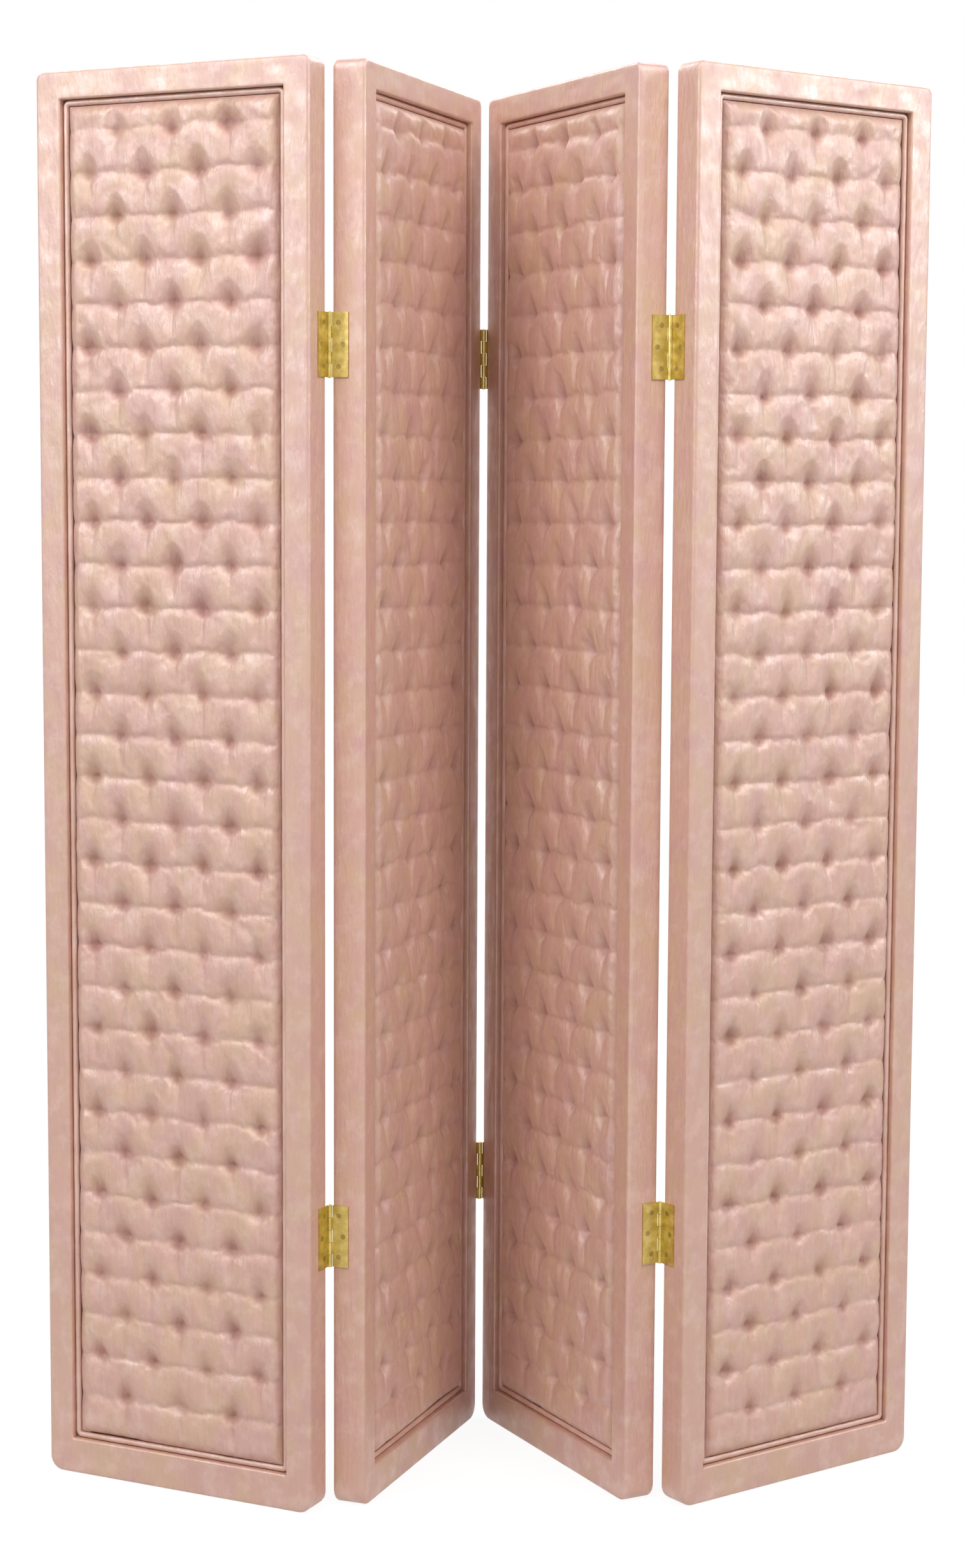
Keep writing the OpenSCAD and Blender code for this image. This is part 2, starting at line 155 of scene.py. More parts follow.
# Back pad: its grid, the width of its drawn-in border, the share of its height at the rim, and
# the depth of its ripples and pulls, with their random fields as above
BACK_STEP, BACK_ROLL, BACK_RIM = 7.0, 26.0, 0.5
BACK_RIPPLE, BACK_PULL, BACK_PULL_W = 0.35, 0.5, 14.0
BACK_FLAT = 0.4
RIPPLE_GRID, RIPPLE_W, RIPPLE_H = (48, 10), 42.0, 45.0
PULLED_GRID, PULLED_W, PULLED_H = (90, 60), 9.0, 22.0

# Seeds of the random fields, each counted on by the panel's number
BROAD_SEED, FINE_SEED, WADDING_SEED, WELT_SEED, BACK_SEED = 10, 20, 40, 70, 90

# Colours, linear
PINK = (0.60, 0.325, 0.235)
ROSE = (0.545, 0.275, 0.245)
TAN = (0.575, 0.355, 0.195)
PALE = (0.74, 0.49, 0.41)
# Painted shade, mixed into the cloth deep in its folds and at its tufts
FOLD_SHADE = (0.34, 0.135, 0.11)


def smooth(low, high, x):
    """0 below low, 1 above high, and a smooth step between."""
    k = np.clip((x - low) / (high - low), 0, 1)
    return k * k * (3 - 2 * k)


def wander(rng, size, u, v):
    """A smooth random field over u and v, from random values at their whole numbers."""
    rows, columns = size
    grid = rng.standard_normal(size)
    u, v = np.broadcast_arrays(np.clip(u, 0, rows - 1.001), np.clip(v, 0, columns - 1.001))
    i, j = u.astype(int), v.astype(int)
    a, b = u - i, v - j
    a, b = a * a * (3 - 2 * a), b * b * (3 - 2 * b)
    low = grid[i, j] * (1 - b) + grid[i, j + 1] * b
    high = grid[i + 1, j] * (1 - b) + grid[i + 1, j + 1] * b
    return low * (1 - a) + high * a


# Panels, read from the frame


def points_of(node):
    """The corners of a node's mesh, in metres."""
    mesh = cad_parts[node].data
    co = np.zeros(len(mesh.vertices) * 3)
    mesh.vertices.foreach_get("co", co)
    return co.reshape(-1, 3)


class Panel:
    """A panel's axes, from its backing board and its cover: all its pieces are made on them."""

    def __init__(self, i):
        self.i = i
        self.body = f"panel_{i}"
        board = points_of(f"backing_board_{i}")[:, :2]
        along = np.linalg.svd(board - board.mean(0), full_matrices=False)[2][0]
        along *= np.sign(along[0])
        across = np.array([-along[1], along[0]])
        cover = points_of(f"frame_cover_{i}")
        a, b = cover[:, :2] @ along, cover[:, :2] @ across
        corner = along * a.min() + across * b.min()
        self.along, self.across, self.corner = along, across, corner
        self.w = (a.max() - a.min()) / MM
        self.t = (b.max() - b.min()) / MM
        self.h = cover[:, 2].max() / MM
        self.matrix = Matrix(
            (
                (along[0], across[0], 0, corner[0]),
                (along[1], across[1], 0, corner[1]),
                (0, 0, 1, 0),
                (0, 0, 0, 1),
            )
        )

    def local_box(self, node):
        """Lowest and highest corner of a node in millimetres, on the panel's axes."""
        co = points_of(node)
        flat = co[:, :2] - self.corner
        p = np.column_stack([flat @ self.along, flat @ self.across, co[:, 2]]) / MM
        return p.min(0), p.max(0)


# Meshes


def turn_outwards(mesh):
    """Orders the corners of each face so that its normal points out of the closed form."""
    bm = bmesh.new()
    bm.from_mesh(mesh)
    bmesh.ops.recalc_face_normals(bm, faces=bm.faces)
    bm.to_mesh(mesh)
    bm.free()


def link(name, data):
    obj = bpy.data.objects.new(name, data)
    bpy.context.scene.collection.objects.link(obj)
    return obj


def place(name, node, panel, points, faces, slot, smooth_faces=True):
    """A mesh of millimetre points on a panel's axes. It rides on the panel's body, has a slot's
    material and stands for a node."""
    mesh = bpy.data.meshes.new(name)
    mesh.from_pydata(np.asarray(points, float) * MM, [], faces)
    shading = np.broadcast_to(smooth_faces, len(mesh.polygons))
    mesh.polygons.foreach_set("use_smooth", shading.tolist())
    turn_outwards(mesh)
    mesh.materials.append(MATERIALS[slot])
    obj = link(name, mesh)
    obj.matrix_world = panel.matrix
    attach(obj, panel.body)
    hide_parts(node)
    return obj


def grid_faces(rows, columns, closed=False):
    """Quads of a grid of points, stored row by row. A closed grid joins up both ways."""
    index = np.arange(rows * columns).reshape(rows, columns)
    if closed:
        index = np.vstack([index, index[:1]])
        index = np.hstack([index, index[:, :1]])
    quads = [index[:-1, :-1], index[1:, :-1], index[1:, 1:], index[:-1, 1:]]
    return np.stack(quads, -1).reshape(-1, 4).tolist()


def border_of(rows, columns):
    """The points round the border of a grid, as indices."""
    index = np.arange(rows * columns).reshape(rows, columns)
    return np.concatenate([index[:-1, 0], index[-1, :-1], index[:0:-1, -1], index[0, :0:-1]])


def band(loop, next_loop):
    """Quads between two loops of as many points."""
    quads = [loop, next_loop, np.roll(next_loop, -1), np.roll(loop, -1)]
    return np.stack(quads, -1).tolist()


# Materials


class Nodes:
    """A material and short calls for its nodes."""

    def __init__(self, name):
        self.material = bpy.data.materials.new(name)
        self.material.use_nodes = True
        self.tree = self.material.node_tree
        self.shader = self.tree.nodes["Principled BSDF"]
        self.place = self.add("ShaderNodeTexCoord").outputs["Object"]

    def put(self, socket, value):
        if isinstance(value, bpy.types.NodeSocket):
            self.tree.links.new(value, socket)
        elif isinstance(value, tuple) and len(value) == 3 and socket.type == "RGBA":
            socket.default_value = (*value, 1)
        else:
            socket.default_value = value

    def add(self, kind, settings=None, **inputs):
        node = self.tree.nodes.new(kind)
        for key, value in (settings or {}).items():
            setattr(node, key, value)
        for key, value in inputs.items():
            self.put(node.inputs[key.replace("_", " ")], value)
        return node

    def noise(self, scale, detail=2.0, roughness=0.5, stretch=(1, 1, 1), warp=0.0):
        where = self.add("ShaderNodeMapping", Vector=self.place, Scale=stretch).outputs[0]
        made = self.add(
            "ShaderNodeTexNoise",
            Vector=where, Scale=scale, Detail=detail, Roughness=roughness, Distortion=warp,
        )
        return made.outputs["Fac"]

    def span(self, value, low, high, to_low=0.0, to_high=1.0):
        """The value's place between low and high, as a number from to_low to to_high."""
        made = self.add("ShaderNodeMapRange", Value=value)
        names = ("From Min", "From Max", "To Min", "To Max")
        for key, number in zip(names, (low, high, to_low, to_high)):
            made.inputs[key].default_value = number
        return made.outputs["Result"]

    def mix(self, fac, a, b):
        made = self.add("ShaderNodeMix", {"data_type": "RGBA"})
        self.put(made.inputs[0], fac)
        self.put(made.inputs[6], a)
        self.put(made.inputs[7], b)
        return made.outputs[2]

    def math(self, operation, a, b):
        made = self.add("ShaderNodeMath", {"operation": operation})
        self.put(made.inputs[0], a)
        self.put(made.inputs[1], b)
        return made.outputs[0]

    def bump(self, height, strength, distance, normal=None):
        made = self.add("ShaderNodeBump", Height=height, Strength=strength, Distance=distance)
        if normal:
            self.put(made.inputs["Normal"], normal)
        return made.outputs[0]

    def finish(self, **inputs):
        for key, value in inputs.items():
            self.put(self.shader.inputs[key.replace("_", " ")], value)
        return self.material


def velvet(name, main, deep, warm, pale, nap=0.5, rough=0.34):
    """Short-pile cloth: patches where the pile lies another way, upright crinkles and pile.
    Paler, glossier patches are partly the pile's own tone and partly painted sheen. In the folds,
    which a mesh's fold attribute gives, it is duller and carries painted shade, darker and redder."""
    n = Nodes(name)
    blotch = n.span(n.noise(13, 3, 0.6, warp=0.8), 0.36, 0.66, 0, 0.85)
    hue = n.span(n.noise(19, 3, 0.55, (1, 1, 0.7), 0.5), 0.42, 0.64, 0, 0.8)
    crush_and_sheen = n.noise(34, 4, 0.65)
    streak = n.noise(230, 3, 0.6, (1, 1, 0.12))
    pile = n.noise(1500, 2, 0.6)
    colour = n.mix(blotch, main, deep)
    colour = n.mix(hue, colour, warm)
    # Paler patches, partly the crushed pile's own tone and partly painted sheen where it is
    # glossier
    colour = n.mix(n.span(crush_and_sheen, 0.48, 0.68, 0, 0.6), colour, pale)
    colour = n.mix(n.span(streak, 0.3, 0.72, 0, 0.32 * nap), colour, pale)
    colour = n.mix(n.span(pile, 0.35, 0.7, 0, 0.16), colour, deep)
    fold = n.add("ShaderNodeAttribute", {"attribute_name": "fold"}).outputs["Fac"]
    # Painted shade: deep in the folds the colour turns darker and redder
    colour = n.mix(n.span(fold, 0, 1, 0, 0.5), colour, FOLD_SHADE)
    crinkle = n.noise(150, 3, 0.6, (1, 1, 0.3), 0.4)
    normal = n.bump(crinkle, 0.65 * nap, 0.003, n.bump(pile, 0.35, 0.0006))
    matt = n.span(crush_and_sheen, 0.38, 0.66, rough + 0.2, rough)
    crushed = n.span(fold, 0.1, 0.6, 0, 0.25)
    return n.finish(
        Base_Color=colour, Normal=normal, Specular_IOR_Level=1.0, IOR=1.7,
        Roughness=n.math("ADD", matt, crushed),
        Sheen_Weight=0.10, Sheen_Roughness=0.42, Sheen_Tint=(1.0, 0.86, 0.82),
    )


def wood(name, light, dark, rings=60.0):
    """Wood with upright grain and fine pores."""
    n = Nodes(name)
    grain = n.noise(rings, 5, 0.65, (1, 1, 0.035), 0.8)
    pores = n.noise(900, 2, 0.5, (1, 1, 0.05))
    colour = n.mix(n.span(grain, 0.34, 0.68), light, dark)
    colour = n.mix(n.span(pores, 0.55, 0.75, 0, 0.35), colour, dark)
    normal = n.bump(pores, 0.3, 0.0003, n.bump(grain, 0.25, 0.0008))
    return n.finish(
        Base_Color=colour, Normal=normal, Roughness=n.span(grain, 0.3, 0.7, 0.5, 0.68),
        Specular_IOR_Level=0.4,
    )


def plywood(name, light, dark):
    """Thin plies, seen at the board's edges, and a calm face grain."""
    n = Nodes(name)
    grain = n.noise(38, 4, 0.6, (1, 1, 0.05), 1.2)
    ply = n.noise(700, 1, 0.4, (1, 1, 0.004))
    colour = n.mix(n.span(grain, 0.35, 0.65), light, dark)
    colour = n.mix(n.span(ply, 0.52, 0.6, 0, 0.3), colour, dark)
    return n.finish(
        Base_Color=colour, Normal=n.bump(grain, 0.25, 0.0006), Roughness=0.62,
        Specular_IOR_Level=0.35,
    )


def brass_metal(name, main, worn, rough):
    """Brass with a fine brushing, soft spots and paler worn places."""
    n = Nodes(name)
    brushed = n.noise(1300, 3, 0.6, (1, 1, 0.05))
    spots = n.noise(85, 4, 0.6)
    colour = n.mix(n.span(spots, 0.42, 0.68), main, worn)
    rough_here = n.span(spots, 0.3, 0.7, rough, rough + 0.14)
    normal = n.bump(brushed, 0.18, 0.0002, n.bump(spots, 0.1, 0.0008))
    return n.finish(Base_Color=colour, Metallic=1.0, Roughness=rough_here, Normal=normal)


MATERIALS = {
    "frame_fabric": velvet("frame_velvet", PINK, ROSE, TAN, PALE, 0.55),
    "pad_fabric": velvet("pad_velvet", PINK, ROSE, TAN, PALE, 0.85, 0.44),
    "welt_fabric": velvet("welt_velvet", PALE, PINK, PINK, PALE, 0.6),
    "back_fabric": velvet("back_cloth", ROSE, PINK, TAN, PINK, 0.7),
    "frame_wood": wood("pine_wood", (0.62, 0.43, 0.24), (0.45, 0.27, 0.12)),
    "dowel_wood": wood("beech_wood", (0.66, 0.47, 0.30), (0.52, 0.34, 0.20), 90.0),
    "plywood": plywood("birch_plywood", (0.60, 0.44, 0.27), (0.46, 0.31, 0.17)),
    "brass": brass_metal("leaf_brass", (0.58, 0.44, 0.125), (0.76, 0.61, 0.23), 0.30),
    "bright_brass": brass_metal("pin_brass", (0.66, 0.51, 0.22), (0.78, 0.65, 0.36), 0.24),
}
SCREW_BRASS = brass_metal("screw_brass", (0.36, 0.26, 0.08), (0.50, 0.38, 0.13), 0.36)


# Tufted pad


class Tufting:
    """Where the points of a pad's cover lie among its tufts. Rows of tufts, every other one half
    a pitch aside, stand on slightly arched creases. Its own x and z count in millimetres from the
    rim's top left corner, s counts pitches aside from the middle, and t counts rows down. Names
    that end in _u are about the row above a point, and those in _l about the row below it."""

    def __init__(self, x, z, rim, seed):
        rng = np.random.default_rng(seed)
        (x0, z0), (x1, z1) = rim
        self.seed, self.x, self.z = seed, x - x0, z1 - z
        stray_x = STRAY_X * wander(rng, STRAY_GRID, self.z / STRAY_H, self.x / STRAY_W)
        stray_z = STRAY_Z * wander(rng, STRAY_GRID, self.z / STRAY_H, self.x / STRAY_W)
        self.s = (x + stray_x - (x0 + x1) / 2) / TUFT_PITCH
        t = (z1 - FIRST_ROW_BELOW_RIM - z - stray_z) / ROW_PITCH
        arch = ARCH / ROW_PITCH * (1 - np.cos(2 * math.pi * self.s) * np.cos(math.pi * t)) / 2
        self.t = t + arch * ((t > -0.5) & (t < ROWS - 0.5))
        row = np.floor(self.t).astype(int)
        self.f = self.t - row
        self.strength = 1 + PULL_SPREAD * rng.standard_normal(PULL_GRID)
        self.over_u, self.amount_u = self.nearest(row)
        self.over_l, self.amount_l = self.nearest(row + 1)
        self.below_u, self.above_l = self.f * ROW_PITCH, (1 - self.f) * ROW_PITCH
        self.near_u = np.where(row >= 0, self.below_u, np.inf)
        self.near_l = np.where(row < ROWS - 1, self.above_l, np.inf)
        self.near_row = np.minimum(self.near_u, self.near_l)
        self.edge = np.minimum(np.minimum(x - x0, x1 - x), np.minimum(z1 - z, z - z0))

    def nearest(self, row):
        """Distance aside to the nearest tuft of a row, and how hard that tuft is pulled."""
        shift = np.where(row % 2 == 0, 0, 0.5)
        reach = np.where(row % 2 == 0, EVEN_REACH, ODD_REACH)
        tuft = np.clip(np.round(self.s - shift) + shift, -reach, reach)
        there = (row >= 0) & (row < ROWS)
        column = (tuft * 2 + PULL_MIDDLE).astype(int)
        amount = self.strength[np.clip(row, -1, ROWS) + 1, column] * there
        return (self.s - tuft) * TUFT_PITCH, amount

    def broad(self):
        """Depth of the stuffed form: rows of round channels, and at each tuft a tall wedge above
        it and a short one below it."""
        rng = np.random.default_rng(BROAD_SEED + self.seed)
        crease = np.minimum(FADE_ABOVE * self.near_l, FADE_BELOW * self.near_u)
        low = np.clip(1 - crease / (ROW_PITCH / 2), 0, 1)
        crown = (1 - low**CHANNEL_FLANK) ** CHANNEL_ROUND
        uneven = 1 + CHANNEL_SPREAD * wander(rng, CHANNEL_GRID, self.t + T_ON, self.x / CHANNEL_W)
        depth = CROWN_DEPTH + CHANNEL_DEPTH * (1 - crown) * uneven
        pull_l = wedge(self.over_l, self.above_l, *ABOVE_WEDGE) * self.amount_l
        pull_u = wedge(self.over_u, self.below_u, *BELOW_WEDGE) * self.amount_u
        pull = np.maximum(pull_l, pull_u) + PULL_OVERLAP * np.minimum(pull_l, pull_u)
        depth += (TUFT_DEPTH - depth) * np.clip(pull, 0, MOST_PULL)
        falling = np.exp(-((self.over_u / FALL_W) ** 2)) * (1 - FALL_LOSS * self.f)
        depth += FALL_DEPTH * (falling * (self.amount_u > 0))
        depth += CROWN_SPREAD * wander(rng, CROWN_GRID, self.t + T_ON, self.s + S_ON)
        rim = 1 - np.clip(self.edge / RIM_ROLL, 0, 1)
        return depth + (RIM_DEPTH - CROWN_DEPTH) * rim**2

    def fine(self):
        """Depth of the upright folds at the tufts, and of small upright wrinkles."""
        rng = np.random.default_rng(FINE_SEED + self.seed)
        falling = fold(self.over_u, self.below_u, self.amount_u, *FALLING_FOLD)
        rising = fold(self.over_l, self.above_l, self.amount_l, *RISING_FOLD)
        sway = SWAY * np.sin(self.z / SWAY_H)
        wrinkle = wander(rng, WRINKLE_GRID, self.z / WRINKLE_H, self.x / WRINKLE_W + sway + X_ON)
        patch = wander(rng, PATCH_GRID, self.z / PATCH_SIZE, self.x / PATCH_SIZE)
        patch = np.clip(PATCH_MIDDLE + PATCH_SPREAD * patch, 0, PATCH_MOST)
        calm = 1 - np.exp(-self.near_row / CALM_H)
        return falling + rising + WRINKLE_DEPTH * wrinkle * patch * calm

    def hold(self):
        """How firmly the cloth is held: at its rim, at its tufts and along the rows' creases."""
        held = CREASE_HOLD * np.exp(-((self.near_row / HOLD_R) ** 2))
        at_u = np.hypot(self.over_u, self.below_u) < HOLD_R
        at_l = np.hypot(self.over_l, self.above_l) < HOLD_R
        held[(at_u & (self.amount_u > 0)) | (at_l & (self.amount_l > 0))] = 1
        held[self.on_border()] = 1
        return held

    def on_border(self):
        return self.edge < 1e-6


def wedge(aside, away, wide, high, core_high, share):
    """1 at a tuft, fading to 0 at the round sides and top of a triangle, with a steeper core.
    Its middle is a little rounded, so that the fold there isn't a sharp edge."""
    aside = np.sqrt(aside * aside + EASE_SQUARE) - EASE_BACK
    broad = 1 - np.hypot(aside / wide, 0.5 * away / high) - 0.5 * away / high
    core = np.exp(-(aside / CORE_W + away / core_high))
    return share * np.clip(broad, 0, 1) ** WEDGE_POWER + (1 - share) * core


def fold(aside, away, amount, depth, wide, high):
    """Depth of a sharp upright fold that starts at a tuft and fades away from it."""
    return depth * (np.exp(-np.abs(aside) / wide) * np.exp(-away / high) * amount)


def rim_grid(rim, step):
    """Points of a grid between the rim's corners, in rows from the top down."""
    (x0, z0), (x1, z1) = rim
    across = np.linspace(x0, x1, round((x1 - x0) / step) + 1)
    down = np.linspace(z1, z0, round((z1 - z0) / step) + 1)
    return np.meshgrid(across, down)


def resample(grid, count):
    """A grid's first axis at count even steps, on smooth curves through its points."""
    n = len(grid)
    at = np.linspace(0, n - 1, count)
    i = np.minimum(at.astype(int), n - 2)
    k = (at - i)[:, None, None]
    a, b, c, d = (grid[np.clip(i + step, 0, n - 1)] for step in (-1, 0, 1, 2))
    return b + 0.5 * k * (c - a + k * (2 * a - 5 * b + 4 * c - d + k * (3 * (b - c) + d - a)))


def resample_both(grid, rows, columns):
    """A grid of points at new counts of rows and columns."""
    grid = resample(grid, rows).transpose(1, 0, 2)
    return resample(grid, columns).transpose(1, 0, 2)


def settled(sheet, hold):
    """The sheet after a cloth simulation: slack cloth, held at its tufts and rim, that the
    stuffing presses outwards until it wrinkles."""
    mesh = bpy.data.meshes.new("slack_sheet")
    start = sheet.reshape(-1, 3) * MM
    mesh.from_pydata(start, [], grid_faces(*hold.shape))
    obj = link("slack_sheet", mesh)
    group = obj.vertex_groups.new(name=CLOTH["vertex_group_mass"])
    for index, weight in enumerate(hold.ravel()):
        if weight > LEAST_HOLD:
            group.add([index], float(weight), "REPLACE")
    cloth = obj.modifiers.new("cloth", "CLOTH")
    for key, value in CLOTH.items():
        setattr(cloth.settings, key, value)
    cloth.settings.effector_weights.gravity = 0
    cloth.collision_settings.use_collision = False
    cloth.point_cache.frame_end = CLOTH_FRAMES
    scene = bpy.context.scene
    for step in range(1, CLOTH_FRAMES + 1):
        scene.frame_set(step)
    result = obj.evaluated_get(bpy.context.evaluated_depsgraph_get()).data
    end = np.zeros(start.size)
    result.vertices.foreach_get("co", end)
    moved = CLOTH_SHARE * np.clip(end.reshape(-1, 3) - start, -MOST_MOVE * MM, MOST_MOVE * MM)
    bpy.data.objects.remove(obj)
    bpy.data.meshes.remove(mesh)
    scene.frame_set(1)
    return ((start + moved) / MM).reshape(sheet.shape)


def tufted_sheet(rim, seed):
    """The pad's cover from rim to rim, as rows of points from the top down."""
    x, z = rim_grid(rim, CLOTH_STEP)
    field = Tufting(x, z, rim, seed)
    sheet = np.stack([x, np.clip(field.broad(), LEAST_DEPTH, DEEPEST), z], -1)
    sheet = settled(sheet, field.hold())
    x, z = rim_grid(rim, PAD_STEP)
    sheet = resample_both(sheet, *x.shape)
    field = Tufting(x, z, rim, seed)
    depth = sheet[..., 1] + field.fine() * smooth(0, FINE_FROM_RIM, field.edge)
    above_least = SOFT_LIMIT * np.logaddexp(0, (depth - LEAST_DEPTH) / SOFT_LIMIT)
    sheet[..., 1] = np.minimum(LEAST_DEPTH + above_least, DEEPEST)
    border = field.on_border()
    sheet[border, 1] = np.maximum(sheet[border, 1], RIM_DEPTH)
    return sheet


def fold_share(points):
    """How deep in the folds each point lies: 0 on the crowns, 1 at a tuft."""
    return np.clip((points[:, 1] - FOLD_FROM) / (FOLD_TO - FOLD_FROM), 0, 1)


def closed_pad(sheet, low, high, ledge_y):
    """The sheet with its wall beside the welt, the ledge under the welt and a flat back."""
    rows, columns = sheet.shape[:2]
    loop = border_of(rows, columns)
    rim = sheet.reshape(-1, 3)[loop]
    wall = rim.copy()
    wall[:, 1] = ledge_y
    centre = (low + high) / 2
    scale = (high - low)[[0, 2]] / (rim.max(0) - rim.min(0))[[0, 2]]
    outer = wall.copy()
    outer[:, [0, 2]] = centre[[0, 2]] + (wall[:, [0, 2]] - centre[[0, 2]]) * scale
    back = outer.copy()
    back[:, 1] = high[1]
    n, m = rows * columns, len(loop)
    points = np.vstack([sheet.reshape(-1, 3), wall, outer, back])
    faces = grid_faces(rows, columns)
    smooth_faces = [True] * len(faces)
    rings = [loop, *(n + m * k + np.arange(m) for k in range(3))]
    for a, b in zip(rings, rings[1:]):
        faces += band(a, b)
    faces.append(rings[-1].tolist())
    smooth_faces += [False] * (len(faces) - len(smooth_faces))
    return points, faces, smooth_faces


def tufted_pad(panel):
    node = f"tufted_pad_{panel.i}"
    low, high = panel.local_box(node)
    welt_back = panel.local_box(f"welt_{panel.i}")[1][1]
    rim = (low[[0, 2]] + RIM_INSET, high[[0, 2]] - RIM_INSET)
    sheet = tufted_sheet(rim, panel.i)
    points, faces, smooth_faces = closed_pad(sheet, low, high, welt_back + SOFT_GAP)
    name = f"tufted_cushion_{panel.i}"
    pad = place(name, node, panel, points, faces, "pad_fabric", smooth_faces)
    # The fold attribute brings the painted shade of the folds, and their duller pile, to the
    # cloth's material
    attribute = pad.data.attributes.new("fold", "FLOAT", "POINT")
    attribute.data.foreach_set("value", fold_share(points))


# Frame cover


def outline_side(panel, side, count):
    """Outer and inner points, front view, along one side of the frame from corner to corner.
    The outer points run between the middles of the round corners."""
    w, h = panel.w, panel.h
    left, right, bottom, top = STILE_W, w - STILE_W, BOTTOM_RAIL_W, h - TOP_RAIL_W
    corners = np.array([(left, bottom), (right, bottom), (right, top), (left, top)])
    radii = (BOTTOM_CORNER_R, BOTTOM_CORNER_R, TOP_CORNER_R, TOP_CORNER_R)
    after = (side + 1) % 4
    ends = (radii[side], radii[after])
    length = w if side % 2 == 0 else h
    nip = [r * (1 - math.cos(math.pi / 4)) for r in ends]
    k = np.linspace(0, 1, count, endpoint=False)
    run = nip[0] + k * (length - nip[0] - nip[1])
    rise = np.zeros(count)
    for r, from_end in zip(ends, (run, length - run)):
        near = np.clip(r - from_end, 0, r)
        rise = np.maximum(rise, r - np.sqrt(r * r - near * near))
    outer = ((run, rise), (w - rise, run), (w - run, h - rise), (rise, h - run))[side]
    inner = corners[side] + k[:, None] * (corners[after] - corners[side])
    return np.column_stack(outer), inner


def cover_ring(panel):
    """Outer and inner points all round the frame, front view, and the frame's width at each."""
    widths = (BOTTOM_RAIL_W, STILE_W, TOP_RAIL_W, STILE_W)
    outers, inners, wide = [], [], []
    for side, here in enumerate(widths):
        length = panel.w if side % 2 == 0 else panel.h
        count = round(length / COVER_STEP)
        outer, inner = outline_side(panel, side, count)
        k = np.arange(count) * COVER_STEP
        start, end = (widths[side - 1] + here) / 2, (widths[(side + 1) % 4] + here) / 2
        at_start = 1 - smooth(0, CORNER_BLEND, k)
        at_end = smooth(length - CORNER_BLEND, length, k)
        outers.append(outer)
        inners.append(inner)
        wide.append(here + (start - here) * at_start + (end - here) * at_end)
    return np.vstack(outers), np.vstack(inners), np.concatenate(wide)


def cover_section(t):
    """Closed section of the cover as (share across, millimetres from the outer edge, millimetres
    from the opening, depth). A point lies at its share between the two edges, plus the offsets."""
    arc = np.linspace(0, math.pi / 2, ARC_POINTS)
    flat = np.linspace(0, 1, FACE_POINTS)[1:-1]
    section = [(0, EDGE_R * (1 - math.cos(a)), 0, EDGE_R * (1 - math.sin(a))) for a in arc]
    for k in flat:
        section.append((k, EDGE_R * (1 - k), OPENING_R * k, 0))
    for a in arc[::-1]:
        section.append((1, 0, OPENING_R * (1 - math.cos(a)), OPENING_R * (1 - math.sin(a))))
    for k in np.linspace(0, 1, OPENING_POINTS)[1:-1]:
        section.append((1, 0, 0, OPENING_R + k * (t - 2 * OPENING_R)))
    for a in arc:
        section.append((1, 0, OPENING_R * (1 - math.cos(a)), t - OPENING_R * (1 - math.sin(a))))
    for k in flat[::-1]:
        section.append((k, EDGE_R * (1 - k), OPENING_R * k, t))
    for a in arc[::-1]:
        section.append((0, EDGE_R * (1 - math.cos(a)), 0, t - EDGE_R * (1 - math.sin(a))))
    for k in np.linspace(0, 1, OUTSIDE_POINTS)[1:-1]:
        section.append((0, 0, 0, t - EDGE_R - k * (t - 2 * EDGE_R)))
    return np.array(section)


def wadding(share, seed):
    """How far the cloth stands out of the frame's faces, over the uneven wadding under it."""
    stations = len(share)
    u = np.arange(stations)[:, None] * COVER_STEP / WADDING_STEP
    size = (stations // 6 + 8, 2 * WADDING_ACROSS)
    v = np.clip(share, 0, 1) * WADDING_ACROSS
    uneven = wander(np.random.default_rng(seed), size, u, v)
    on_face = smooth(*WADDING_START, share) * (1 - smooth(*WADDING_END, share))
    return on_face * (WADDING_RISE * uneven - WADDING_DROP)


def frame_cover(panel):
    """Padded wrap of the frame, as one ring with soft faces and round edges."""
    outer, inner, wide = cover_ring(panel)
    part, from_edge, from_opening, depth = cover_section(panel.t).T
    share = part + from_edge / wide[:, None] - from_opening / wide[:, None]
    flat = outer[:, None, :] + (inner - outer)[:, None, :] * share[:, :, None]
    swell = wadding(share, WADDING_SEED + panel.i) * (part < 1)
    depth = depth + np.where(depth < panel.t / 2, -swell, swell)
    depth = np.clip(depth, -WADDING_MOST, panel.t + WADDING_MOST)
    points = np.dstack([flat[..., 0], depth, flat[..., 1]]).reshape(-1, 3)
    faces = grid_faces(*share.shape, closed=True)
    name, node = f"frame_wrap_{panel.i}", f"frame_cover_{panel.i}"
    place(name, node, panel, points, faces, "frame_fabric")


# Welt


def welt_line(low, high, r):
    """Points round the welt's middle line in steps, front view, with bent corners."""
    bend = r + WELT_BEND
    x0, x1, z0, z1 = low[0] + r, high[0] - r, low[2] + r, high[2] - r
    line = []
    corners = [
        (x0 + bend, z0 + bend, 180), (x1 - bend, z0 + bend, 270),
        (x1 - bend, z1 - bend, 0), (x0 + bend, z1 - bend, 90),
    ]
    for x, z, start in corners:
        for a in np.radians(start + np.linspace(0, 90, WELT_BEND_POINTS)):
            line.append((x + bend * math.cos(a), z + bend * math.sin(a)))
    line = np.array(line)
    stations = []
    for a, b in zip(line, np.roll(line, -1, 0)):
        pieces = max(1, round(np.hypot(*(b - a)) / WELT_STEP))
        stations += [a + (b - a) * k / pieces for k in range(pieces)]
    return np.array(stations)


